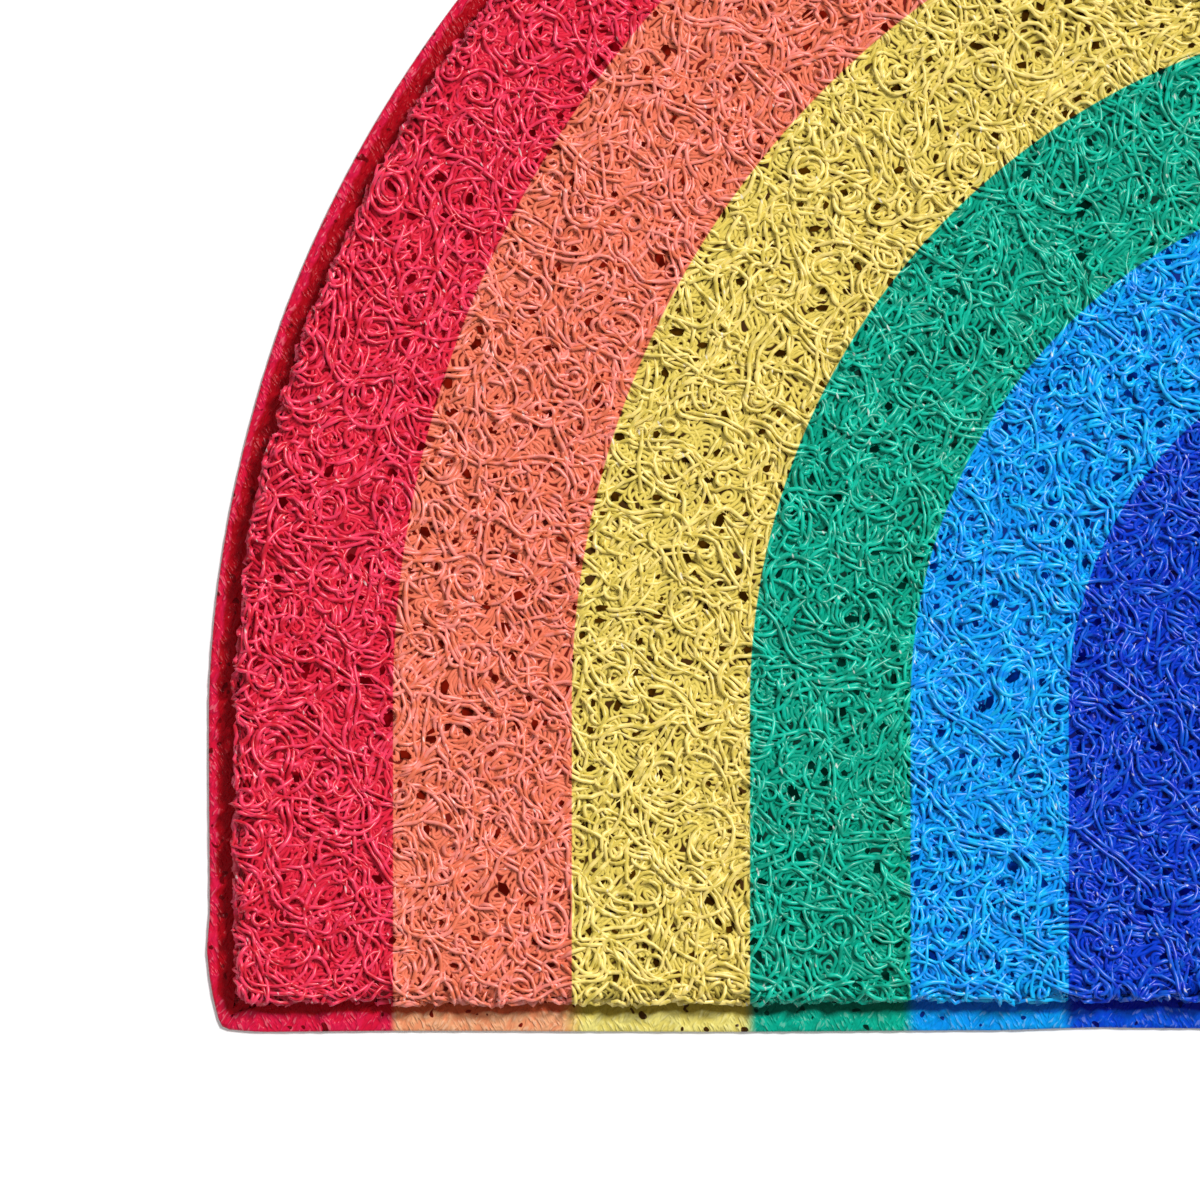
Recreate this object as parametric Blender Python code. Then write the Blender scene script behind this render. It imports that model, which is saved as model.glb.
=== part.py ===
"""Half moon doormat: one sheet of fused vinyl coils, cut to an arch and pressed flat along its whole edge.

Metres, +Z up. The mat lies on Z = 0 with its straight edge towards -Y.
The origin is the middle of its underside.
"""
from collections import namedtuple

import bmesh
import bpy
import numpy as np
from mathutils import Vector, noise

# Driving dimensions of the arch
HALF_WIDTH = 0.350        # radius of the arch, and half the width across its straight legs
LEG = 0.0943              # straight leg, from the bottom edge up to where the arch springs
FIELD_TOP = 0.0120        # height of the loose coils
RIM_TOP = 0.0030          # height of the coils where they are pressed flat
RIM_SIDE = 0.0074         # width of the pressed rim up the legs and round the arch
RIM_FOOT = 0.0083         # width of the pressed rim along the bottom edge
FIELD_CHAMFER = 0.0014    # slope at the top of the field's edge
FIELD_SUNK = 0.0015       # where the field's body starts, inside the pressed sheet
FIELD_CORNER = 0.0045     # radius of the field's two bottom corners
POINT_STEP = 0.0040       # spacing of the points along both outlines

# How uneven the cut edge and the pressed line are
EDGE_WAVE = 0.0004
EDGE_WAVE_LENGTH = 0.060
FIELD_WAVE = 0.0009
FIELD_WAVE_LENGTH = 0.017
WAVE_SEED = 4.3

# Where the hand-cut arch runs inside a true half circle: angle round the arch in degrees, and how far inside
Drift = namedtuple("Drift", "angle inside")
ARCH_DRIFT = (
    Drift(0, 0.0000),
    Drift(8, 0.0015),
    Drift(16, 0.0030),
    Drift(24, 0.0047),
    Drift(32, 0.0063),
    Drift(40, 0.0074),
    Drift(50, 0.0079),
    Drift(60, 0.0076),
    Drift(70, 0.0068),
    Drift(80, 0.0060),
    Drift(90, 0.0056),
)

# How far the bottom edge is drawn in: distance from the middle of the mat, and how far in
Drawn = namedtuple("Drawn", "across inside")
FOOT_DRAWN = (
    Drawn(0.000, 0.0008),
    Drawn(0.060, 0.0007),
    Drawn(0.098, 0.0012),
    Drawn(0.125, 0.0003),
    Drawn(0.200, 0.0000),
    Drawn(0.350, 0.0000),
)

# The cut-off bottom corner: distance in from the leg's line, and height above the bottom edge
Corner = namedtuple("Corner", "inside above")
CUT_CORNER = (
    Corner(0.0114, 0.0002),
    Corner(0.0046, 0.0008),
    Corner(0.0033, 0.0019),
    Corner(0.0023, 0.0047),
    Corner(0.0009, 0.0108),
    Corner(0.0000, 0.0158),
    Corner(-0.0008, 0.0235),
    Corner(0.0000, 0.0330),
)

# Printed bands: colour, and the distance of each band's outer line from the middle of the arch
Band = namedtuple("Band", "name outer colour")
BANDS = (
    Band("dark blue", 0.1057, (0.003, 0.051, 0.479)),
    Band("sky blue", 0.1506, (0.002, 0.296, 0.730)),
    Band("green", 0.1963, (0.003, 0.314, 0.205)),
    Band("yellow", 0.2469, (0.730, 0.571, 0.144)),
    Band("coral", 0.2977, (0.738, 0.188, 0.130)),
    Band("red", 0.3600, (0.631, 0.020, 0.056)),
)
ROUGHNESS = 0.42


def foot_line(half, corner, rim, count):
    """Points along the bottom edge, from the left corner to the right one."""
    start = half - corner
    across = np.linspace(-start, start, count)
    drawn = np.interp(np.abs(across), [row.across for row in FOOT_DRAWN], [row.inside for row in FOOT_DRAWN])
    return [(x, -LEG + rim + inside) for x, inside in zip(across, drawn)]


def right_corner(half, rim):
    """Points round the bottom right corner: the cut corner on the outer edge, a small round on the field's."""
    if rim == 0.0:
        return [(half - row.inside, -LEG + row.above) for row in CUT_CORNER]
    turns = np.radians(np.linspace(-75.0, -15.0, 3))
    middle = Vector((half - FIELD_CORNER, -LEG + rim + FIELD_CORNER))
    return [(middle.x + FIELD_CORNER * np.cos(a), middle.y + FIELD_CORNER * np.sin(a)) for a in turns]


def leg_and_arch(half):
    """Points up the right leg from clear of the corner, and round the arch to its top."""
    start = -LEG + CUT_CORNER[-1].above + POINT_STEP
    leg = [(half, y) for y in np.arange(start, -POINT_STEP / 2, POINT_STEP)]
    degrees = np.arange(0.0, 90.0, np.degrees(POINT_STEP / half))
    drift = np.interp(degrees, [row.angle for row in ARCH_DRIFT], [row.inside for row in ARCH_DRIFT])
    radius = half - drift
    return leg + list(zip(radius * np.cos(np.radians(degrees)), radius * np.sin(np.radians(degrees))))


def outline(side_rim, foot_rim, corner, wave, wave_length):
    """One closed, uneven outline of the mat, drawn in by the widths of the rim."""
    half = HALF_WIDTH - side_rim
    count = int(2 * half / POINT_STEP)
    rising = right_corner(half, foot_rim) + leg_and_arch(half)
    falling = [(-x, y) for x, y in reversed(rising)]
    top = [(0.0, half - ARCH_DRIFT[-1].inside)]
    points = np.array(foot_line(half, corner, foot_rim, count) + rising + top + falling)
    along = np.roll(points, -1, axis=0) - np.roll(points, 1, axis=0)
    along /= np.linalg.norm(along, axis=1)[:, None]
    outward = np.stack([along[:, 1], -along[:, 0]], axis=1)
    lift = [noise.noise(Vector((x, y, WAVE_SEED * wave_length)) / wave_length) for x, y in points]
    return points + outward * (wave * np.array(lift))[:, None]


def flat_solid(name, points, low, high, chamfer):
    """A closed mesh from a flat outline: a filled 2D curve with an extrude, welded."""
    curve = bpy.data.curves.new(name, "CURVE")
    curve.dimensions = "2D"
    curve.fill_mode = "BOTH"
    curve.extrude = (high - low) / 2 - chamfer
    curve.bevel_depth = chamfer
    curve.bevel_resolution = 0
    curve.offset = -chamfer
    spline = curve.splines.new("POLY")
    spline.points.add(len(points) - 1)
    for point, (x, y) in zip(spline.points, points):
        point.co = (x, y, 0.0, 1.0)
    spline.use_cyclic_u = True
    drawn = bpy.data.objects.new(name + " outline", curve)
    drawn.location.z = (low + high) / 2
    bpy.context.scene.collection.objects.link(drawn)
    bpy.context.view_layer.update()
    solid = bpy.data.meshes.new_from_object(drawn.evaluated_get(bpy.context.evaluated_depsgraph_get()))
    solid.transform(drawn.matrix_world)
    bpy.data.objects.remove(drawn)
    welded = bmesh.new()
    welded.from_mesh(solid)
    bmesh.ops.remove_doubles(welded, verts=welded.verts, dist=0.00001)
    bmesh.ops.recalc_face_normals(welded, faces=welded.faces)
    welded.to_mesh(solid)
    welded.free()
    return bpy.data.objects.new(name, solid)


def striped_vinyl(arch_middle_y):
    """Printed vinyl: the colour follows the distance from the arch's middle, or from its line down the legs."""
    material = bpy.data.materials.new("printed coil vinyl")
    material.use_nodes = True
    nodes, links = material.node_tree.nodes, material.node_tree.links
    shader = nodes["Principled BSDF"]
    shader.inputs["Roughness"].default_value = ROUGHNESS
    place = nodes.new("ShaderNodeTexCoord")
    split = nodes.new("ShaderNodeSeparateXYZ")
    above = nodes.new("ShaderNodeMath")
    above.operation = "SUBTRACT"
    above.inputs[1].default_value = arch_middle_y
    rise = nodes.new("ShaderNodeMath")
    rise.operation = "MAXIMUM"
    rise.inputs[1].default_value = 0.0
    flat = nodes.new("ShaderNodeCombineXYZ")
    reach = nodes.new("ShaderNodeVectorMath")
    reach.operation = "LENGTH"
    share = nodes.new("ShaderNodeMath")
    share.operation = "DIVIDE"
    share.inputs[1].default_value = BANDS[-1].outer
    ramp = nodes.new("ShaderNodeValToRGB")
    ramp.color_ramp.interpolation = "CONSTANT"
    ramp.color_ramp.elements[0].color = (*BANDS[0].colour, 1.0)
    ramp.color_ramp.elements.remove(ramp.color_ramp.elements[1])
    for inner, band in zip(BANDS, BANDS[1:]):
        ramp.color_ramp.elements.new(inner.outer / BANDS[-1].outer).color = (*band.colour, 1.0)
    links.new(place.outputs["Object"], split.inputs[0])
    links.new(split.outputs["Y"], above.inputs[0])
    links.new(above.outputs[0], rise.inputs[0])
    links.new(split.outputs["X"], flat.inputs["X"])
    links.new(rise.outputs[0], flat.inputs["Y"])
    links.new(flat.outputs[0], reach.inputs[0])
    links.new(reach.outputs["Value"], share.inputs[0])
    links.new(share.outputs[0], ramp.inputs["Fac"])
    links.new(ramp.outputs["Color"], shader.inputs["Base Color"])
    return material


def collection(name):
    made = bpy.data.collections.new(name)
    bpy.context.scene.collection.children.link(made)
    return made


def build_mat():
    """The pressed sheet, with the raised field of coils joined to it."""
    edge = outline(0.0, 0.0, CUT_CORNER[0].inside + POINT_STEP, EDGE_WAVE, EDGE_WAVE_LENGTH)
    field_edge = outline(RIM_SIDE, RIM_FOOT, FIELD_CORNER + POINT_STEP / 2, FIELD_WAVE, FIELD_WAVE_LENGTH)
    middle = (edge.max(axis=0) + edge.min(axis=0)) / 2
    mat = flat_solid("coil_mat", edge - middle, 0.0, RIM_TOP, 0.0)
    field = flat_solid("raised_field", field_edge - middle, FIELD_SUNK, FIELD_TOP, FIELD_CHAMFER)
    field.hide_render = True
    field.display_type = "WIRE"
    join = mat.modifiers.new("raised field", "BOOLEAN")
    join.operation = "UNION"
    join.solver = "EXACT"
    join.object = field
    mat.data.materials.append(striped_vinyl(-middle[1]))
    collection("half moon doormat").objects.link(mat)
    collection("joined shapes").objects.link(field)


for old in list(bpy.data.objects):
    bpy.data.objects.remove(old)
build_mat()
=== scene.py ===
"""Half moon doormat: vinyl threads laid in loops, fused, printed in bands, cut and pressed at the edge.

Metres, +Z up. The mat lies on Z = 0 with its straight edge towards -Y. The photo looks straight down on the
left part of it.
"""
import math

import bpy
import numpy as np
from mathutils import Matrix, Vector, kdtree


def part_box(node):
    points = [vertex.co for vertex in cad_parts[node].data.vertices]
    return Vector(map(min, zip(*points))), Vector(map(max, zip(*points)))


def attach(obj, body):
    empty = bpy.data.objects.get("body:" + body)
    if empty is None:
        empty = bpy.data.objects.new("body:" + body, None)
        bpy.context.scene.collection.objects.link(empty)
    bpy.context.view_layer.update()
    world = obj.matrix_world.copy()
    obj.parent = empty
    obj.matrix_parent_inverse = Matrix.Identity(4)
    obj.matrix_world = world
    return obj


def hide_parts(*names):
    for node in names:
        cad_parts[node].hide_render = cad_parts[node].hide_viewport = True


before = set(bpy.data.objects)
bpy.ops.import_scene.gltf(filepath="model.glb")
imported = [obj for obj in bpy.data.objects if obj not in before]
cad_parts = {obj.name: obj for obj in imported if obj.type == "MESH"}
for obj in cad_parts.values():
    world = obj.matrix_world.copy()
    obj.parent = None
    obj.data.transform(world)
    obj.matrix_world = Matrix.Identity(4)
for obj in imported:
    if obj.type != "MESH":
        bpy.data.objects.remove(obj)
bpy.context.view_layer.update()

# The cut sheet. The maker lays out one sheet of fused loops, cuts it to an arch and presses its edge flat.
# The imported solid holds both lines: the cut edge lies on the floor, and the pressed line is the foot of
# the raised field. Everything below is laid out from these two loops.
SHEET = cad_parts["coil_mat"].data
SHEET_LOW, SHEET_HIGH = (Vector(corner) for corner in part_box("coil_mat"))
RIM_TOP = 0.0030
LEG = 0.0943
ARCH_MIDDLE = SHEET_LOW.y + LEG
LOOP_STEP = 0.0008
SAME_HEIGHT = 0.0001
CLEAR_OF_CUT = 0.004


def loop_at(height, keep):
    """Evenly spaced points of the solid at one height, in order round it, and their outward normals."""
    level = [v.co for v in SHEET.vertices if abs(v.co.z - height) < SAME_HEIGHT]
    corners = np.array([co for co in level if keep(co)])[:, :2]
    corners = np.unique(corners.round(6), axis=0)
    corners = corners[np.argsort(np.arctan2(corners[:, 1], corners[:, 0]))]
    closed = np.vstack([corners, corners[:1]])
    along = np.concatenate([[0.0], np.cumsum(np.linalg.norm(np.diff(closed, axis=0), axis=1))])
    even = np.linspace(0.0, along[-1], int(along[-1] / LOOP_STEP), endpoint=False)
    points = np.stack([np.interp(even, along, closed[:, i]) for i in (0, 1)], axis=1)
    return points, outward_of(points)


def outward_of(points):
    ahead = np.roll(points, -2, axis=0) - np.roll(points, 2, axis=0)
    ahead /= np.linalg.norm(ahead, axis=1)[:, None]
    return np.stack([ahead[:, 1], -ahead[:, 0]], axis=1)


def tree_of(points):
    tree = kdtree.KDTree(len(points))
    for i, (x, y) in enumerate(points):
        tree.insert((x, y, 0.0), i)
    tree.balance()
    return tree


cut_edge, cut_outward = loop_at(0.0, lambda co: True)
cut_tree = tree_of(cut_edge)
press_line, press_outward = loop_at(RIM_TOP, lambda co: cut_tree.find((co.x, co.y, 0.0))[2] > CLEAR_OF_CUT)
press_tree = tree_of(press_line)


def depth_inside(points, loop, outward, tree):
    """How far each point lies inside a loop, with the nearest point of the loop and its outward normal."""
    nearest = np.array([tree.find((x, y, 0.0))[1] for x, y in points])
    on, out = loop[nearest], outward[nearest]
    return -np.einsum("ij,ij->i", points - on, out), on, out


def reach_of(points):
    """Distance from the arch's middle, or from the middle line below it: the bands are even in this."""
    return np.hypot(points[:, 0], np.maximum(points[:, 1] - ARCH_MIDDLE, 0.0))


# The print. Six flat colours are printed on the finished coils, each out to its own arched line. A thread
# changes colour just where the line crosses it. Besides its ink on the coils and on the rim, each band has
# two painted shades: a darker, stronger one for places deep in the coils and a near-black one for gaps.
BAND_TABLE = (
    # name, outer line, spread of the inks on the rim
    ("dark_blue", 0.1057, 0.0020),
    ("sky_blue", 0.1506, 0.0025),
    ("green", 0.1963, 0.0018),
    ("yellow", 0.2469, 0.0040),
    ("coral", 0.2977, 0.0010),
    ("red", 0.3600, 0.0),
)
INKS = {
    # dark blue, sky blue, green, yellow, coral, red
    "Coil": ((0.0005, 0.095, 0.635), (0.0005, 0.460, 0.890), (0.0005, 0.515, 0.350), (0.930, 0.740, 0.222),
             (0.920, 0.268, 0.210), (0.860, 0.043, 0.114)),
    "Rim": ((0.0005, 0.080, 0.620), (0.0005, 0.310, 0.770), (0.0005, 0.400, 0.265), (0.780, 0.690, 0.200),
            (0.790, 0.375, 0.190), (0.650, 0.010, 0.060)),
    # The last two rows are painted shades of each band: one for places deep in the coils, a near-black one
    # for gaps.
    "Deep shade": ((0.0005, 0.012, 0.520), (0.0005, 0.190, 0.760), (0.0005, 0.225, 0.135), (0.610, 0.470, 0.050),
             (0.730, 0.142, 0.045), (0.600, 0.002, 0.012)),
    "Gap shade": ((0.0002, 0.002, 0.110), (0.0003, 0.020, 0.190), (0.0003, 0.028, 0.018), (0.055, 0.020, 0.001),
            (0.160, 0.006, 0.002), (0.170, 0.001, 0.004)),
}
INK_EDGE = 0.0002
# Bare vinyl: the underside's own colour, also used to lighten streaks as a painted glint.
UNPRINTED_AND_GLINT = (0.86, 0.83, 0.80, 1.0)


def new_group(name, inputs, outputs):
    group = bpy.data.node_groups.new(name, "ShaderNodeTree")
    for label, kind, value in inputs:
        socket = group.interface.new_socket(name=label, in_out="INPUT", socket_type=kind)
        socket.default_value = value
    for label, kind in outputs:
        group.interface.new_socket(name=label, in_out="OUTPUT", socket_type=kind)
    return group, group.nodes.new("NodeGroupInput"), group.nodes.new("NodeGroupOutput")


def math_node(tree, operation, first, second=None, third=None):
    node = tree.nodes.new("ShaderNodeMath")
    node.operation = operation
    for socket, value in zip(node.inputs, (first, second, third)):
        if isinstance(value, (int, float)):
            socket.default_value = value
        elif value is not None:
            tree.links.new(value, socket)
    return node.outputs[0]


def ranged(tree, value, low, high):
    """Turns a value into a share from 0 at low to 1 at high."""
    node = tree.nodes.new("ShaderNodeMapRange")
    node.interpolation_type = "SMOOTHSTEP"
    tree.links.new(value, node.inputs["Value"])
    for socket, edge in (("From Min", low), ("From Max", high)):
        if isinstance(edge, (int, float)):
            node.inputs[socket].default_value = edge
        else:
            tree.links.new(edge, node.inputs[socket])
    return node.outputs["Result"]


def mixed(tree, share, first, second, way="MIX"):
    node = tree.nodes.new("ShaderNodeMix")
    node.data_type = "RGBA"
    node.blend_type = way
    for socket, value in (("Factor", share), ("A", first), ("B", second)):
        if isinstance(value, (int, float, tuple)):
            node.inputs[socket].default_value = value
        else:
            tree.links.new(value, node.inputs[socket])
    return node.outputs["Result"]


def noise_value(tree, place, size, detail=2.0, rough=0.5):
    """Soft noise whose lumps are about this size in metres."""
    node = tree.nodes.new("ShaderNodeTexNoise")
    node.noise_dimensions = "2D"
    node.inputs["Scale"].default_value = 1.0 / size
    node.inputs["Detail"].default_value = detail
    node.inputs["Roughness"].default_value = rough
    tree.links.new(place, node.inputs["Vector"])
    return node.outputs["Fac"]


def printed_bands_and_shades_group():
    """Inks by place on the mat, as they look on the coils and on the rim, with the painted shades for deep
    down and for a gap. Spread is how far the inks run into each other: 0 on the coils, 1 on the pressed rim."""
    group, entry, leave = new_group(
        "printed bands and painted shades",
        [("Position", "NodeSocketVector", (0.0, 0.0, 0.0)), ("Spread", "NodeSocketFloat", 0.0)],
        [(name, "NodeSocketColor") for name in INKS],
    )
    split = group.nodes.new("ShaderNodeSeparateXYZ")
    group.links.new(entry.outputs["Position"], split.inputs[0])
    rise = math_node(group, "MAXIMUM", math_node(group, "SUBTRACT", split.outputs["Y"], ARCH_MIDDLE), 0.0)
    across = math_node(group, "MULTIPLY", split.outputs["X"], split.outputs["X"])
    reach = math_node(group, "SQRT", math_node(group, "MULTIPLY_ADD", rise, rise, across))
    past_line = []
    for _, line, spread in BAND_TABLE[:-1]:
        width = math_node(group, "MULTIPLY_ADD", entry.outputs["Spread"], spread, INK_EDGE)
        low = math_node(group, "SUBTRACT", line, width)
        past_line.append(ranged(group, reach, low, math_node(group, "ADD", line, width)))
    for name, inks in INKS.items():
        colour = (*inks[0], 1.0)
        for share, ink in zip(past_line, inks[1:]):
            colour = mixed(group, share, colour, (*ink, 1.0))
        group.links.new(colour, leave.inputs[name])
    return group


PRINTED_BANDS_AND_SHADES = printed_bands_and_shades_group()


def place_group(tree, group, **values):
    node = tree.nodes.new("ShaderNodeGroup")
    node.node_tree = group
    for label, value in values.items():
        if isinstance(value, (int, float, tuple)):
            node.inputs[label].default_value = value
        else:
            tree.links.new(value, node.inputs[label])
    return node.outputs


def new_material(name):
    material = bpy.data.materials.new(name)
    material.use_nodes = True
    tree = material.node_tree
    position = tree.nodes.new("ShaderNodeTexCoord").outputs["Object"]
    return material, tree, tree.nodes["Principled BSDF"], position


def finished_piece(name, points, faces, material):
    """A smooth piece from its points and faces, with its material, which rides on the mat."""
    mesh = bpy.data.meshes.new(name)
    mesh.from_pydata(points.tolist(), [], faces)
    mesh.materials.append(material)
    mesh.shade_smooth()
    piece = bpy.data.objects.new(name, mesh)
    bpy.context.scene.collection.objects.link(piece)
    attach(piece, "root")
    return piece


# The coil bed. Under the loose loops the threads are fused into one thick sheet, which shows as turns
# between the loops above. Its top is coloured in painted shade: darker than the loops, darker still in the
# grooves, and near-black where no fused thread lies. Its underside is bare vinyl, not printed.
BED_CELL = 0.0040
BED_TOP = 0.0092
BED_LUMP = 0.0004
BED_LUMP_SIZE = 0.009
BED_LUMP_SEED = 3
LUMP_WAVES = 7
BED_IN = 0.0014
BED_FOOT_IN = 0.0026
BED_LIFT = 0.0003


def lumps(points, size, seed):
    """Even, soft lumps from a few crossing waves: mostly from -1 to 1."""
    rng = np.random.default_rng(seed)
    height = np.zeros(len(points))
    for turn in rng.uniform(0.0, math.pi, LUMP_WAVES):
        wave = rng.uniform(0.75, 1.6) * 2 * math.pi / size
        bend = rng.uniform(0.0, 2 * math.pi)
        along = points @ np.array([math.cos(turn), math.sin(turn)])
        side = points @ np.array([-math.sin(turn), math.cos(turn)])
        height += np.sin(along * wave + bend + np.sin(side * wave * 0.7))
    return height / 4.0


def bed_mesh():
    """A grid over the raised field, its border on the pressed line, closed by a skirt and a flat foot."""
    xs = np.arange(SHEET_LOW.x, SHEET_HIGH.x, BED_CELL)
    ys = np.arange(SHEET_LOW.y, SHEET_HIGH.y, BED_CELL)
    grid = np.stack(np.meshgrid(xs, ys, indexing="ij"), axis=-1).reshape(-1, 2)
    inside, on, out = depth_inside(grid, press_line, press_outward, press_tree)
    index = np.arange(len(grid)).reshape(len(xs), len(ys))
    cells = np.stack([index[:-1, :-1], index[1:, :-1], index[1:, 1:], index[:-1, 1:]], axis=-1)
    cells = cells.reshape(-1, 4)
    cells = cells[(inside[cells] > BED_IN).all(axis=1)]
    edges = np.concatenate([cells[:, [i, (i + 1) % 4]] for i in range(4)])
    backwards = {(b, a) for a, b in edges.tolist()}
    rim_edges = [pair for pair in edges.tolist() if tuple(pair) not in backwards]
    border = np.unique(np.array(rim_edges))
    grid[border] = on[border] - out[border] * BED_IN
    used = np.unique(cells)
    place = np.full(len(grid), -1)
    place[used] = np.arange(len(used))
    top = BED_TOP + BED_LUMP * lumps(grid[used], BED_LUMP_SIZE, BED_LUMP_SEED)
    top[place[border]] = BED_TOP - BED_LUMP
    foot = np.column_stack([grid[border] - out[border] * BED_FOOT_IN, np.full(len(border), BED_LIFT)])
    points = np.vstack([np.column_stack([grid[used], top]), foot])
    below = {v: len(used) + i for i, v in enumerate(border.tolist())}
    faces = place[cells].tolist()
    faces += [[int(place[b]), int(place[a]), below[a], below[b]] for a, b in rim_edges]
    follow = {a: b for a, b in rim_edges}
    turn = [rim_edges[0][0]]
    while follow[turn[-1]] != turn[0]:
        turn.append(follow[turn[-1]])
    faces.append([below[v] for v in reversed(turn)])
    return points, faces


FUSED_LAYERS = (
    # size of the bends, number of threads over the noise's range, how far the layer is shifted
    (0.0085, 6.5, 0.0),
    (0.0065, 5.2, 0.37),
    (0.0110, 8.0, 0.71),
)
LAYER_OVER = 2.2
OVER_SIZE = 0.0060
SLOPE_STEP = 0.00012
FUSED_WIDTH = 0.0012


def moved_place(tree, place, x, y):
    node = tree.nodes.new("ShaderNodeVectorMath")
    node.operation = "ADD"
    node.inputs[1].default_value = (x, y, 0.0)
    tree.links.new(place, node.inputs[0])
    return node.outputs[0]


def thread_relief_group():
    """Fused threads as height, and as a share for the painted shade in their grooves. Each thread is a line
    on which soft noise has one value, so the threads of a layer bend together and never cross. Three layers
    pass over and under each other."""
    group, entry, leave = new_group(
        "fused threads",
        [("Position", "NodeSocketVector", (0.0, 0.0, 0.0)), ("Thread", "NodeSocketFloat", FUSED_WIDTH)],
        [("Height", "NodeSocketFloat"), ("Groove shade", "NodeSocketFloat")],
    )
    height = None
    for size, count, shift in FUSED_LAYERS:
        place = moved_place(group, entry.outputs["Position"], shift, -0.7 * shift)
        here = noise_value(group, place, size, 0.0)
        east = noise_value(group, moved_place(group, place, SLOPE_STEP, 0.0), size, 0.0)
        north = noise_value(group, moved_place(group, place, 0.0, SLOPE_STEP), size, 0.0)
        rise_x = math_node(group, "SUBTRACT", east, here)
        rise_y = math_node(group, "SUBTRACT", north, here)
        square = math_node(group, "MULTIPLY", rise_y, rise_y)
        square = math_node(group, "MULTIPLY_ADD", rise_x, rise_x, square)
        slope = math_node(group, "DIVIDE", math_node(group, "SQRT", square), SLOPE_STEP)
        slope = math_node(group, "MAXIMUM", slope, 0.15 / size)
        off = math_node(group, "PINGPONG", math_node(group, "MULTIPLY", here, count), 0.5)
        away = math_node(group, "DIVIDE", off, math_node(group, "MULTIPLY", slope, count))
        half = math_node(group, "MULTIPLY", entry.outputs["Thread"], 0.5)
        across = math_node(group, "DIVIDE", away, half)
        there = math_node(group, "LESS_THAN", across, 1.0)
        across = math_node(group, "POWER", math_node(group, "MINIMUM", across, 1.0), 2.0)
        rounded = math_node(group, "SQRT", math_node(group, "SUBTRACT", 1.0, across))
        over = noise_value(group, place, OVER_SIZE, 0.0)
        layer = math_node(group, "MULTIPLY_ADD", over, LAYER_OVER, rounded)
        layer = math_node(group, "MULTIPLY", layer, there)
        height = layer if height is None else math_node(group, "MAXIMUM", height, layer)
    group.links.new(height, leave.inputs["Height"])
    group.links.new(ranged(group, height, 1.90, 1.00), leave.inputs["Groove shade"])
    return group


FUSED_THREADS = thread_relief_group()


def facing_up(tree):
    split = tree.nodes.new("ShaderNodeSeparateXYZ")
    tree.links.new(tree.nodes.new("ShaderNodeNewGeometry").outputs["True Normal"], split.inputs[0])
    return math_node(tree, "GREATER_THAN", split.outputs["Z"], -0.5)


def bed_vinyl():
    material, tree, shader, position = new_material("fused coil vinyl")
    relief = place_group(tree, FUSED_THREADS, Position=position, Thread=FUSED_WIDTH)
    inks = place_group(tree, PRINTED_BANDS_AND_SHADES, Position=position)
    # Painted shade: the bed's tops lean to the deep shade ink, its grooves more, and where no fused thread
    # lies it takes the near-black gap shade.
    upper = mixed(tree, 0.65, inks["Coil"], inks["Deep shade"])
    lower = mixed(tree, 0.62, inks["Deep shade"], inks["Gap shade"])
    printed = mixed(tree, relief["Groove shade"], upper, lower)
    printed = mixed(tree, ranged(tree, relief["Height"], 0.8, 0.4), printed, inks["Gap shade"])
    colour = mixed(tree, facing_up(tree), UNPRINTED_AND_GLINT, printed)
    tree.links.new(colour, shader.inputs["Base Color"])
    shader.inputs["Roughness"].default_value = 0.34
    shader.inputs["Specular IOR Level"].default_value = 0.2
    bump = tree.nodes.new("ShaderNodeBump")
    bump.inputs["Distance"].default_value = 0.0005
    tree.links.new(relief["Height"], bump.inputs["Height"])
    tree.links.new(bump.outputs["Normal"], shader.inputs["Normal"])
    return material


bed_points, bed_faces = bed_mesh()
coil_bed = finished_piece("coil_bed", bed_points, bed_faces, bed_vinyl())

# The gaps. Here and there the loops leave a gap deep into the sheet, which looks nearly black from above.
# Each is a patch on the bed with that darkness painted on as shade. Most of the loose coils bend round it,
# and some still cross it.
GAP_CELL = 0.0060
GAP_SHARE = 0.56
GAP_UNEVEN = 0.45
GAP_PATCH = 0.045
GAP_PATCH_SEED = 9
GAP_WIDTH = 0.0017
GAP_LEAST = 0.45
GAP_LONGEST = 1.9
GAP_MARGIN = 0.0005
GAP_FROM_EDGE = 0.005
GAP_CORNERS = 5
GAP_CORNER_OUT = 1.08
GAP_RAGGED = 0.38
GAP_LIFT = 0.0004
GAP_SEED = 7

gap_rng = np.random.default_rng(GAP_SEED)
GAP_COLUMNS = int((SHEET_HIGH.x - SHEET_LOW.x) / GAP_CELL) + 1
GAP_LINES = int((SHEET_HIGH.y - SHEET_LOW.y) / GAP_CELL) + 1
gap_cells = np.stack(np.meshgrid(np.arange(GAP_COLUMNS), np.arange(GAP_LINES), indexing="ij"), axis=-1)
gap_cells = gap_cells.reshape(-1, 2)
gap_middle = np.array(SHEET_LOW[:2]) + (gap_cells + gap_rng.uniform(0.1, 0.9, gap_cells.shape)) * GAP_CELL
gap_half = GAP_WIDTH / 2 * (GAP_LEAST + gap_rng.uniform(0.0, 1.0, len(gap_cells)) ** 1.7)
gap_long = gap_half * gap_rng.uniform(1.0, GAP_LONGEST, len(gap_cells))
gap_turn = gap_rng.uniform(0.0, math.pi, len(gap_cells))
gap_chance = GAP_SHARE * (1 + GAP_UNEVEN * lumps(gap_middle, GAP_PATCH, GAP_PATCH_SEED))
gap_there = gap_rng.uniform(0.0, 1.0, len(gap_cells)) < gap_chance
gap_there &= depth_inside(gap_middle, press_line, press_outward, press_tree)[0] > GAP_FROM_EDGE


def turned(places, turn):
    cosine, sine = np.cos(turn), np.sin(turn)
    x, y = places[..., 0], places[..., 1]
    return np.stack([x * cosine - y * sine, x * sine + y * cosine], axis=-1)


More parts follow.
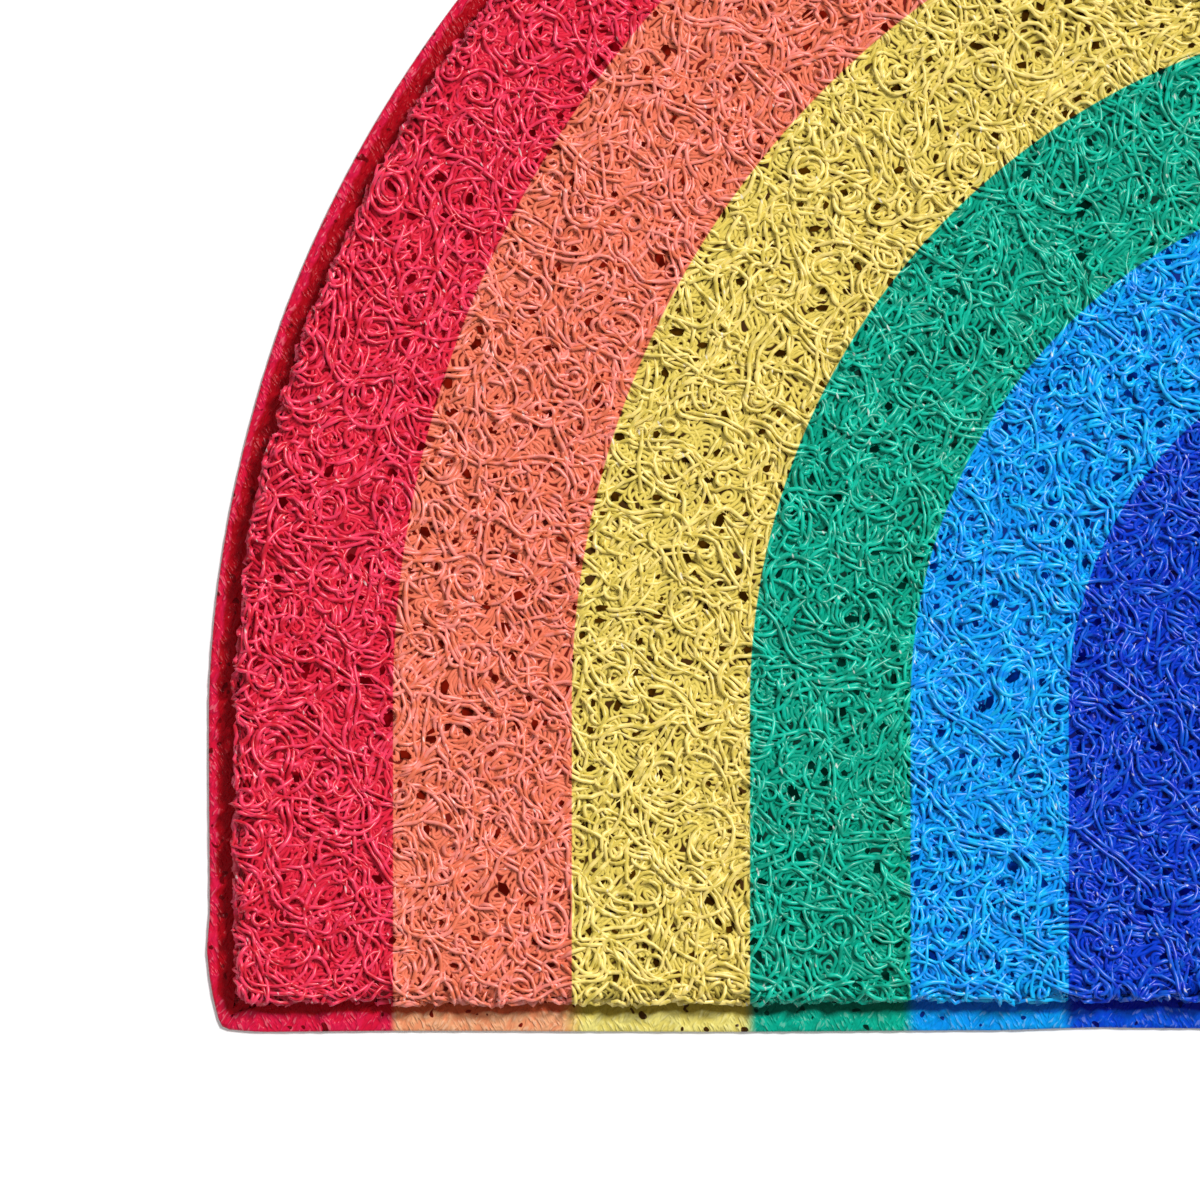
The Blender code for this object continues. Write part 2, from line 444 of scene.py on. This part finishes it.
def in_gap(points, number):
    """Place of each point along and across its gap: 1 is the gap's edge."""
    size = np.column_stack([gap_long[number], gap_half[number]]) + GAP_MARGIN
    return turned(points - gap_middle[number], -gap_turn[number]) / size


def nearest_gap(points):
    """Number of the closest gap to each point, and how far the point is from its middle."""
    cell = np.floor((points - np.array(SHEET_LOW[:2])) / GAP_CELL).astype(int)
    number, far = np.zeros(len(points), int), np.full(len(points), np.inf)
    for i in (-1, 0, 1):
        for j in (-1, 0, 1):
            column = np.clip(cell[:, 0] + i, 0, GAP_COLUMNS - 1)
            line = np.clip(cell[:, 1] + j, 0, GAP_LINES - 1)
            other = column * GAP_LINES + line
            away = np.where(gap_there[other], np.linalg.norm(in_gap(points, other), axis=1), np.inf)
            nearer = away < far
            number[nearer], far[nearer] = other[nearer], away[nearer]
    return number, far


def gap_shade_vinyl():
    material, tree, shader, position = new_material("painted shade of a deep gap")
    # Painted shade of the deep gap: near-black ink, darker still in soft random spots.
    gap = place_group(tree, PRINTED_BANDS_AND_SHADES, Position=position)["Gap shade"]
    shade = ranged(tree, noise_value(tree, position, 0.004), 0.40, 0.65)
    darkest = mixed(tree, 1.0, gap, (0.4, 0.4, 0.4, 1.0), "MULTIPLY")
    tree.links.new(mixed(tree, shade, darkest, gap), shader.inputs["Base Color"])
    shader.inputs["Roughness"].default_value = 1.0
    shader.inputs["Specular IOR Level"].default_value = 0.0
    return material


gaps_here = np.flatnonzero(gap_there)
corner_turn = np.linspace(0.0, 2 * math.pi, GAP_CORNERS, endpoint=False)
corner_out = GAP_CORNER_OUT + GAP_RAGGED * gap_rng.uniform(-1.0, 1.0, (len(gaps_here), GAP_CORNERS))
corners = corner_out[..., None] * np.stack([np.cos(corner_turn), np.sin(corner_turn)], axis=-1)
corners = corners * np.stack([gap_long[gaps_here], gap_half[gaps_here]], axis=-1)[:, None, :]
corners = (turned(corners, gap_turn[gaps_here, None]) + gap_middle[gaps_here, None, :]).reshape(-1, 2)
gap_height = BED_TOP + BED_LUMP * lumps(corners, BED_LUMP_SIZE, BED_LUMP_SEED) + GAP_LIFT
gap_faces = np.arange(len(corners)).reshape(-1, GAP_CORNERS).tolist()
gaps = finished_piece("gaps", np.column_stack([corners, gap_height]), gap_faces, gap_shade_vinyl())

# The pressed rim. A hot press squeezes the cut edge to a thin, nearly solid strip, so that it can't fray.
# The threads show as faint flat streaks, with a few small holes. It runs on a little under the field.
# A band of painted shade runs along the field's foot all round, wider on the left.
RIM_COLUMN = 0.0024
SHADE_REACH = 0.0037
SHADE_REACH_SIDE = 0.0023
SHADE_BLEND = 0.0004
SHADE_WAVE = 0.0008
SHADE_WAVE_SEED = 8
SHADE_ROWS = 4
LIT_ROWS = 4
RIM_UNDER = 0.0026
RIM_RELIEF = 0.00012
RIM_LUMP_SIZE = 0.0045
RIM_LUMP_SEED = 11
RIM_FALL = 0.0013
CUT_ROUND = 0.0007
CUT_FOOT = 0.0004
CUT_LUMP_SIZE = 0.0060
CUT_LUMP_SEED = 12
PRESS_WAVE_SIZE = 0.0055
STREAK_SIZE = 0.0010
STREAK_PATCH = 0.0070
MOTTLE_SIZE = 0.0045
HOLE_SIZE = 0.0040


def rim_mesh():
    """Rows of points from under the field over the strip, down its cut edge, and back along the floor."""
    every = max(1, int(round(RIM_COLUMN / LOOP_STEP)))
    outer, out = cut_edge[::every], cut_outward[::every]
    inside, on, _ = depth_inside(outer, press_line, press_outward, press_tree)
    width = -inside + RIM_UNDER
    side = SHADE_REACH_SIDE * np.maximum(-out[:, 0], 0.0)
    shade = RIM_UNDER + SHADE_REACH + side
    shade = shade + SHADE_WAVE * lumps(outer, PRESS_WAVE_SIZE, SHADE_WAVE_SEED)
    first, last = (shade - SHADE_BLEND) / width, (shade + SHADE_BLEND) / width
    shares = [first * i / (SHADE_ROWS - 1) for i in range(SHADE_ROWS)]
    shares += [last + (1 - last) * i / (LIT_ROWS - 1) for i in range(LIT_ROWS)]
    rows = []
    for share in shares:
        line = outer - out * (width * (1 - share) + CUT_ROUND)[:, None]
        top = RIM_TOP - RIM_FALL * share + RIM_RELIEF * lumps(line, RIM_LUMP_SIZE, RIM_LUMP_SEED)
        rows.append(np.column_stack([line, top]))
    rounding = RIM_RELIEF * 2 * lumps(outer, CUT_LUMP_SIZE, CUT_LUMP_SEED)
    for turn in (45.0, 90.0):
        line = outer - out * CUT_ROUND * (1 - math.sin(math.radians(turn)))
        fall = RIM_FALL + CUT_ROUND * (1 - math.cos(math.radians(turn)))
        rows.append(np.column_stack([line, RIM_TOP - fall + rounding]))
    rows.append(np.column_stack([outer, np.full(len(outer), CUT_FOOT)]))
    rows.append(np.column_stack([outer - out * CUT_FOOT, np.zeros(len(outer))]))
    rows.append(np.column_stack([outer - out * width[:, None], np.zeros(len(outer))]))
    count, around = len(outer), len(rows)
    # Painted shade: the shade rows get 1 in this mask, and the rim's colour is darkened there.
    painted_shade = np.array([1.0] * SHADE_ROWS + [0.0] * (around - SHADE_ROWS))
    points = np.concatenate(rows)
    row, column = np.meshgrid(np.arange(around), np.arange(count), indexing="ij")
    near, far = (column % count), (column + 1) % count
    above, below = row * count, ((row + 1) % around) * count
    faces = np.stack([above + near, below + near, below + far, above + far], axis=-1).reshape(-1, 4)
    return points, faces.tolist(), np.repeat(painted_shade, count)


def slanting_streaks(tree, place, slant, size, low, high):
    """Short fine streaks in one direction: from 0 to 1."""
    node = tree.nodes.new("ShaderNodeMapping")
    node.vector_type = "TEXTURE"
    node.inputs["Rotation"].default_value = (0.0, 0.0, slant)
    node.inputs["Scale"].default_value = (3.0, 1.0, 1.0)
    tree.links.new(place, node.inputs["Vector"])
    return ranged(tree, noise_value(tree, node.outputs["Vector"], size, 1.0), low, high)


def rim_vinyl():
    material, tree, shader, position = new_material("pressed vinyl rim")
    inks = place_group(tree, PRINTED_BANDS_AND_SHADES, Position=position, Spread=1.0)
    first = slanting_streaks(tree, position, math.radians(58.0), STREAK_SIZE, 0.36, 0.70)
    second = slanting_streaks(tree, position, math.radians(118.0), STREAK_SIZE, 0.36, 0.70)
    which = ranged(tree, noise_value(tree, position, STREAK_PATCH, 0.0), 0.44, 0.56)
    second = math_node(tree, "MULTIPLY", second, math_node(tree, "SUBTRACT", 1.0, which))
    streak = math_node(tree, "MULTIPLY_ADD", first, which, second)
    mottle = ranged(tree, noise_value(tree, position, MOTTLE_SIZE, 1.0), 0.35, 0.70)
    height = math_node(tree, "ADD", streak, mottle)
    # Painted shade: the low streaks and mottles are darkened towards the deep shade ink.
    painted_shade_share = math_node(tree, "MULTIPLY", ranged(tree, height, 1.3, 0.1), 0.45)
    # Painted shade along the field's foot from the mask; elsewhere the rim shows its lit colour.
    painted_shade = tree.nodes.new("ShaderNodeAttribute")
    painted_shade.attribute_name = "painted_shade"
    shaded = mixed(tree, 0.52, inks["Deep shade"], inks["Gap shade"])
    # The highest streaks are lightened towards bare vinyl: partly bare vinyl showing, partly a painted
    # glint.
    glint = math_node(tree, "MULTIPLY", ranged(tree, streak, 0.90, 1.0), 0.10)
    lit = mixed(tree, glint, mixed(tree, painted_shade_share, inks["Rim"], inks["Deep shade"]), UNPRINTED_AND_GLINT)
    printed = mixed(tree, painted_shade.outputs["Fac"], lit, shaded)
    # The holes are painted in the near-black gap shade, more of them in the painted shade band.
    hole = noise_value(tree, position, HOLE_SIZE, 1.0)
    hole = math_node(tree, "MULTIPLY_ADD", painted_shade.outputs["Fac"], 0.035, hole)
    hole = ranged(tree, hole, 0.730, 0.755)
    colour = mixed(tree, facing_up(tree), UNPRINTED_AND_GLINT, mixed(tree, hole, printed, inks["Gap shade"]))
    tree.links.new(colour, shader.inputs["Base Color"])
    shader.inputs["Roughness"].default_value = 0.30
    shader.inputs["Specular IOR Level"].default_value = 0.14
    bump = tree.nodes.new("ShaderNodeBump")
    bump.inputs["Distance"].default_value = 0.00028
    tree.links.new(height, bump.inputs["Height"])
    tree.links.new(bump.outputs["Normal"], shader.inputs["Normal"])
    return material


rim_points, rim_faces, rim_painted_shade = rim_mesh()
pressed_rim = finished_piece("pressed_rim", rim_points, rim_faces, rim_vinyl())
pressed_rim.data.attributes.new("painted_shade", "FLOAT", "POINT").data.foreach_set("value", rim_painted_shade)

# The loose coils. Soft threads fall onto the sheet in loops and sweeps, and fuse where they touch. Each is
# one closed tube that rises out of the bed, wanders over the top and sinks again. Past the field's edge the
# threads turn down its side and end in the pressed rim.
SHEET_MARGIN = 0.010
THREAD_WIDTH = 0.00112
THREAD_HEIGHT = 0.00100
THINNEST, THICKEST = 0.76, 1.16
RIDGE_SHARE = 0.6
FLANK_LEAN = 60.0
COIL_LOW, COIL_HIGH = 0.0091, 0.0110
SWELL = 0.0009
SWELL_SHORT, SWELL_LONG = 0.007, 0.012
END_SINK = 0.0032
END_LENGTH = 0.0050
STRAIGHTEST, TIGHTEST = 0.55, 1.25
BESIDE = 0.0021
SHOULDER = 0.0010
SHOULDER_DROP = 0.0080
UNDERCUT = 0.0016
RIM_GRIP = 0.0006
PRESSED_TOP = RIM_TOP - 0.0002
PRESS_WAVE = 0.0009
PRESS_WAVE_SEED = 5
PRESS_OWN = 0.0009
FINE_STEP = 0.0006
TURN_STEP = 0.40
RUN_STEP = 0.0028
WALL_STEP = 0.0015
WALL_FROM_REACH = 0.325
WALL_FROM_FOOT = 0.014
EDGE_FROM_REACH = 0.30
EDGE_FROM_FOOT = 0.03
GAP_REACH = 2.2
CROSSING_SHARE = 0.42
PUSHED_LEAST, PUSHED_MOST = 0.70, 1.20
CROSSING_DIP = 0.0007
BENT_DIP = 0.0030
DIP_FROM = 0.85
SMOOTHINGS = 4
SHADE_PATCH_SIZE = 0.0032
BARE_AND_GLINT_SIZE = 0.0013
SEED = 20

THREAD_TABLE = (
    # kind, share of all threads, length, bend, how much the bend sways, over what length, its tightest bend,
    # how many run side by side
    ("loop", 0.42, 0.024, 1 / 0.0034, 220.0, 0.005, 1 / 0.0014, 1),
    ("sweep", 0.58, 0.036, 1 / 0.0105, 170.0, 0.006, 1 / 0.0032, 2),
)
THREADS_PER_M2 = 39500

wall_turn = np.radians(np.linspace(0.0, 90.0, 60))
wall_down = 1 - np.cos(wall_turn)
wall_out = SHOULDER * np.sin(wall_turn) - UNDERCUT * wall_down ** 2
wall_steps = np.hypot(np.diff(wall_out), SHOULDER_DROP * np.diff(wall_down))
wall_along = np.concatenate([[0.0], np.cumsum(wall_steps)])
WALL_LENGTH = wall_along[-1]


def wandering_threads(rng, share, length, bend, sway, sway_length, tightest, beside):
    """Plan of the threads of one kind, in fine steps, started evenly over the sheet and past its edge."""
    steps = int(length / FINE_STEP)
    spacing = 1 / math.sqrt(THREADS_PER_M2 * share / beside)
    margin = WALL_LENGTH + SHEET_MARGIN
    xs = np.arange(SHEET_LOW.x - margin, SHEET_HIGH.x + margin, spacing)
    ys = np.arange(SHEET_LOW.y - margin, SHEET_HIGH.y + margin, spacing)
    starts = np.stack(np.meshgrid(xs, ys, indexing="ij"), axis=-1).reshape(-1, 2)
    starts = starts + rng.uniform(-0.5, 0.5, starts.shape) * spacing
    starts = starts[reach_of(starts) < 0.5 * (SHEET_HIGH.x - SHEET_LOW.x) + margin]
    count = len(starts)
    own = bend * rng.choice([-1.0, 1.0], count) * rng.uniform(STRAIGHTEST, TIGHTEST, count)
    drift = np.zeros((count, steps))
    keep = math.exp(-FINE_STEP / sway_length)
    value = rng.normal(0.0, sway, count)
    for i in range(steps):
        value = keep * value + math.sqrt(1 - keep * keep) * rng.normal(0.0, sway, count)
        drift[:, i] = value
    bends = np.clip(own[:, None] + drift, -tightest, tightest)
    heading = rng.uniform(0.0, 2 * math.pi, count)[:, None] + np.cumsum(bends * FINE_STEP, axis=1)
    path = np.cumsum(FINE_STEP * np.stack([np.cos(heading), np.sin(heading)], axis=-1), axis=1)
    path = path - path.mean(axis=1, keepdims=True) + starts[:, None, :]
    sideways = np.stack([-np.sin(heading), np.cos(heading)], axis=-1)
    rows = [path]
    for i in range(1, beside):
        parting = BESIDE * (i + 0.35 * np.sin(heading * 1.7 + i))
        rows.append(path + sideways * parting[..., None])
    return np.concatenate(rows)


def bent_round_gaps(path, crossing, pushed_to):
    """Pushes all but the crossing threads out of the gaps, each to its own distance, and smooths them."""
    flat = path.reshape(-1, 2)
    number, far = nearest_gap(flat)
    near = (far < GAP_REACH) & ~np.repeat(crossing, path.shape[1])
    number, far = number[near], np.maximum(far[near], 0.001)
    least = np.repeat(pushed_to, path.shape[1])[near]
    place = in_gap(flat[near], number) * ((least + far * (GAP_REACH - least) / GAP_REACH) / far)[:, None]
    place *= np.column_stack([gap_long[number], gap_half[number]]) + GAP_MARGIN
    flat = flat.copy()
    flat[near] = turned(place, gap_turn[number]) + gap_middle[number]
    path = flat.reshape(path.shape)
    for _ in range(SMOOTHINGS):
        path[:, 1:-1] = (path[:, :-2] + 2 * path[:, 1:-1] + path[:, 2:]) / 4
    return path


def thread_heights(rng, path, crossing):
    """Height of each point: the thread's own level, gentle swells, both ends sinking into the bed, and a
    dip over a gap, slight for a thread that crosses it and deep for one that was pushed aside."""
    count, steps = path.shape[:2]
    along = np.arange(steps) * FINE_STEP
    level = COIL_LOW + (COIL_HIGH - COIL_LOW) * rng.uniform(0.0, 1.0, count) ** 0.9
    wave = rng.uniform(SWELL_SHORT, SWELL_LONG, count)[:, None]
    start = rng.uniform(0, 2 * math.pi, count)[:, None]
    swell = SWELL * np.sin(along[None, :] * 2 * math.pi / wave + start)
    end = np.minimum(along, along[::-1])
    sink = END_SINK * np.clip(1 - end / END_LENGTH, 0.0, 1.0) ** 1.3
    far = nearest_gap(path.reshape(-1, 2))[1].reshape(count, steps)
    dip = np.where(crossing, CROSSING_DIP, BENT_DIP)[:, None] * np.sqrt(np.clip(DIP_FROM - far, 0.0, 1.0))
    height = np.minimum(level[:, None] + swell, COIL_HIGH + 0.0002)
    return height - sink[None, :] - dip


def thinned(path):
    """Keeps a point of a thread only where it has turned enough or run far enough since the last one."""
    ahead = np.diff(path, axis=1)
    heading = np.arctan2(ahead[..., 1], ahead[..., 0])
    length = np.linalg.norm(ahead, axis=-1)
    flat = path.reshape(-1, 2)
    wall = (reach_of(flat) > WALL_FROM_REACH) | (flat[:, 1] < SHEET_LOW.y + WALL_FROM_FOOT)
    limit = np.where(wall.reshape(path.shape[:2]), WALL_STEP, RUN_STEP)
    keep = np.zeros(path.shape[:2], bool)
    keep[:, 0] = keep[:, -1] = True
    swung, run = np.zeros(len(path)), np.zeros(len(path))
    for i in range(1, path.shape[1] - 1):
        turn = heading[:, i] - heading[:, i - 1]
        swung += np.abs((turn + math.pi) % (2 * math.pi) - math.pi)
        run += length[:, i - 1]
        stop = (swung > TURN_STEP) | (run > limit[:, i])
        keep[:, i] = stop
        swung[stop] = 0.0
        run[stop] = 0.0
    return keep


def draped(flat, height, own_edge):
    """Lays the plan over the field: on top, and down the side past the edge, where it ends in the rim."""
    close = reach_of(flat) > EDGE_FROM_REACH
    close |= flat[:, 1] < SHEET_LOW.y + EDGE_FROM_FOOT
    inside = np.full(len(flat), 1.0)
    on, out = np.zeros_like(flat), np.zeros_like(flat)
    inside[close], on[close], out[close] = depth_inside(flat[close], press_line, press_outward, press_tree)
    own_edge = own_edge + PRESS_WAVE * lumps(flat, PRESS_WAVE_SIZE, PRESS_WAVE_SEED)
    past = SHOULDER - inside + own_edge
    shift = np.interp(past, wall_along, wall_out)
    turn = np.interp(past, wall_along, wall_turn)
    moved = past > 0
    down = np.where(moved, np.interp(past, wall_along, wall_down), 0.0)
    beyond = np.maximum(past - WALL_LENGTH, 0.0)
    place = flat.copy()
    place[moved] = on[moved] + out[moved] * (shift + beyond - SHOULDER - own_edge)[moved, None]
    level = height * (1 - down) + PRESSED_TOP * down
    up = np.zeros((len(flat), 3))
    up[:, 2] = 1.0
    up[moved, 2] = np.cos(turn[moved])
    up[moved, :2] = out[moved] * np.sin(turn[moved])[:, None]
    return np.column_stack([place, level]), up, beyond < RIM_GRIP, moved


def tubes(centre, up, kept, thread, wide):
    """Closed three-sided tubes with the ridge on top, one for each unbroken run of kept points, with
    normals that shade them as round."""
    linked = (thread[1:] == thread[:-1]) & kept[1:] & kept[:-1]
    has_next = np.append(linked, False)
    has_last = np.insert(linked, 0, False)
    used = has_next | has_last
    ahead = np.where(has_next[:, None], np.roll(centre, -1, axis=0), centre)
    behind = np.where(has_last[:, None], np.roll(centre, 1, axis=0), centre)
    along = ahead - behind
    along /= np.maximum(np.linalg.norm(along, axis=1), 1e-9)[:, None]
    side = np.cross(along, up)
    side /= np.maximum(np.linalg.norm(side, axis=1), 1e-9)[:, None]
    ridge = np.cross(side, along)
    half = wide[:, None] / 2
    tall = THREAD_HEIGHT / THREAD_WIDTH * wide[:, None]
    foot = ridge * tall * (1 - RIDGE_SHARE)
    left = centre + side * half - foot
    apex = centre + ridge * tall * RIDGE_SHARE
    right = centre - side * half - foot
    lean = math.radians(FLANK_LEAN)
    flank = side * math.sin(lean)
    upright = ridge * math.cos(lean)
    number = np.cumsum(used) - 1
    points = np.stack([left, apex, right], axis=1)[used].reshape(-1, 3)
    normals = np.stack([flank + upright, ridge, upright - flank], axis=1)[used].reshape(-1, 3)
    here = 3 * number[has_next]
    there = here + 3
    flanks = ((0, 1), (1, 2), (2, 0))
    quads = [np.stack([here + b, here + a, there + a, there + b], axis=1) for a, b in flanks]
    first = 3 * number[has_next & ~has_last]
    last = 3 * number[has_last & ~has_next]
    caps = [np.stack([first, first + 1, first + 2], axis=1), np.stack([last + 2, last + 1, last], axis=1)]
    return points, normals, np.concatenate(quads), np.concatenate(caps)


def plan_map(mesh, points, corners):
    """A map seen straight down, so that ink lines stay sharp in a copy with painted-on colours."""
    low, high = points[:, :2].min(axis=0), points[:, :2].max(axis=0)
    uv = (points[corners][:, :2] - low) / (high - low).max()
    layer = mesh.uv_layers.new(name="OFBake")
    layer.uv.foreach_set("vector", uv.astype(np.float32).ravel())


def thread_piece(name, points, normals, quads, caps, material):
    mesh = bpy.data.meshes.new(name)
    corners = np.concatenate([quads.ravel(), caps.ravel()]).astype(np.int32)
    sizes = np.concatenate([np.full(len(quads), 4), np.full(len(caps), 3)])
    mesh.vertices.add(len(points))
    mesh.vertices.foreach_set("co", points.astype(np.float32).ravel())
    mesh.loops.add(len(corners))
    mesh.loops.foreach_set("vertex_index", corners)
    mesh.polygons.add(len(sizes))
    mesh.polygons.foreach_set("loop_start", (np.cumsum(sizes) - sizes).astype(np.int32))
    mesh.update(calc_edges=True)
    mesh.validate()
    mesh.shade_smooth()
    mesh.normals_split_custom_set_from_vertices(normals.tolist())
    plan_map(mesh, points, corners)
    mesh.materials.append(material)
    piece = bpy.data.objects.new(name, mesh)
    bpy.context.scene.collection.objects.link(piece)
    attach(piece, "root")
    return piece


def coil_vinyl():
    material, tree, shader, position = new_material("printed coil vinyl")
    inks = place_group(tree, PRINTED_BANDS_AND_SHADES, Position=position)
    # Painted shade: random patches of the threads take the deep shade ink, standing for threads lying lower.
    patches = noise_value(tree, position, SHADE_PATCH_SIZE, 1.0)
    painted_shade_share = math_node(tree, "MULTIPLY", ranged(tree, patches, 0.62, 0.34), 0.75)
    # Fine slanting streaks lightened towards bare vinyl: partly bare vinyl showing, partly a painted glint.
    bare_and_glint_streaks = slanting_streaks(tree, position, math.radians(112.0), BARE_AND_GLINT_SIZE, 0.755, 0.815)
    bare = math_node(tree, "MULTIPLY", bare_and_glint_streaks, 0.6)
    printed = mixed(tree, painted_shade_share, inks["Coil"], inks["Deep shade"])
    tree.links.new(mixed(tree, bare, printed, UNPRINTED_AND_GLINT), shader.inputs["Base Color"])
    shader.inputs["Roughness"].default_value = 0.35
    shader.inputs["Specular IOR Level"].default_value = 0.55
    return material


rng = np.random.default_rng(SEED)
laid = {row[0]: [] for row in BAND_TABLE}
laid["edge"] = []
for _, share, length, bend, sway, sway_length, tightest, beside in THREAD_TABLE:
    path = wandering_threads(rng, share, length, bend, sway, sway_length, tightest, beside)
    crossing = rng.uniform(0.0, 1.0, len(path)) < CROSSING_SHARE
    path = bent_round_gaps(path, crossing, rng.uniform(PUSHED_LEAST, PUSHED_MOST, len(path)))
    height = thread_heights(rng, path, crossing)
    keep = thinned(path)
    thread = np.nonzero(keep)[0]
    wide = (THREAD_WIDTH * rng.uniform(THINNEST, THICKEST, len(path)))[thread]
    own_edge = rng.uniform(-PRESS_OWN, PRESS_OWN, len(path))[thread]
    centre, up, kept, past_edge = draped(path[keep], height[keep], own_edge)
    band = np.searchsorted([row[1] for row in BAND_TABLE[:-1]], reach_of(path.mean(axis=1)))
    band[np.unique(thread[past_edge])] = len(BAND_TABLE)
    for i, name in enumerate(laid):
        mine = band[thread] == i
        laid[name].append(tubes(centre[mine], up[mine], kept[mine], thread[mine], wide[mine]))

COIL_VINYL = coil_vinyl()
coils = []
for name, pieces in laid.items():
    offsets = np.cumsum([0] + [len(points) for points, _, _, _ in pieces])
    points = np.concatenate([p for p, _, _, _ in pieces])
    normals = np.concatenate([n for _, n, _, _ in pieces])
    quads = np.concatenate([q + o for (_, _, q, _), o in zip(pieces, offsets)])
    caps = np.concatenate([c + o for (_, _, _, c), o in zip(pieces, offsets)])
    coils.append(thread_piece("coils_" + name, points, normals, quads, caps, COIL_VINYL))

for piece in (coil_bed, gaps, pressed_rim, *coils):
    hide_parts("coil_mat")

# The room. A plain pale floor, one large soft lamp high at the photo's upper right, and an even pale sky as
# fill. The camera looks straight down on the left part of the mat, as the photo does.
bpy.context.scene.view_settings.view_transform = "Standard"
bpy.ops.mesh.primitive_plane_add(size=6.0, location=(0.0, 0.0, 0.0))
floor = bpy.context.object
floor.name = "floor"
floor_paint, floor_tree, floor_shader, floor_place = new_material("pale floor")
grain = ranged(floor_tree, noise_value(floor_tree, floor_place, 0.4), 0.3, 0.7)
floor_colour = mixed(floor_tree, grain, (0.90, 0.90, 0.90, 1.0), (0.93, 0.93, 0.93, 1.0))
floor_tree.links.new(floor_colour, floor_shader.inputs["Base Color"])
floor_shader.inputs["Roughness"].default_value = 0.9
floor.data.materials.append(floor_paint)

LAMP_HEIGHT = math.radians(52.0)
LAMP_BEARING = math.radians(45.0)
lamp = bpy.data.objects.new("window lamp", bpy.data.lights.new("window lamp", "SUN"))
lamp.data.energy = 3.2
lamp.data.angle = math.radians(12.0)
level = math.cos(LAMP_HEIGHT)
towards = Vector((level * math.cos(LAMP_BEARING), level * math.sin(LAMP_BEARING), math.sin(LAMP_HEIGHT)))
lamp.rotation_euler = towards.to_track_quat("Z", "Y").to_euler()
bpy.context.scene.collection.objects.link(lamp)
world = bpy.data.worlds.new("pale room")
world.use_nodes = True
world.node_tree.nodes["Background"].inputs["Color"].default_value = (1.0, 1.0, 1.0, 1.0)
world.node_tree.nodes["Background"].inputs["Strength"].default_value = 0.42
bpy.context.scene.world = world
world.cycles_visibility.glossy = False

VIEW_WIDTH = 0.3409
VIEW_X = -0.2389
VIEW_ABOVE_FOOT = 0.1231
CAMERA_HEIGHT = 6.0
camera = bpy.data.objects.new("camera", bpy.data.cameras.new("camera"))
camera.data.sensor_width = 36.0
camera.data.lens = 36.0 * (CAMERA_HEIGHT - SHEET_HIGH.z) / VIEW_WIDTH
camera.location = (VIEW_X, SHEET_LOW.y + VIEW_ABOVE_FOOT, CAMERA_HEIGHT)
bpy.context.scene.collection.objects.link(camera)
bpy.context.scene.camera = camera
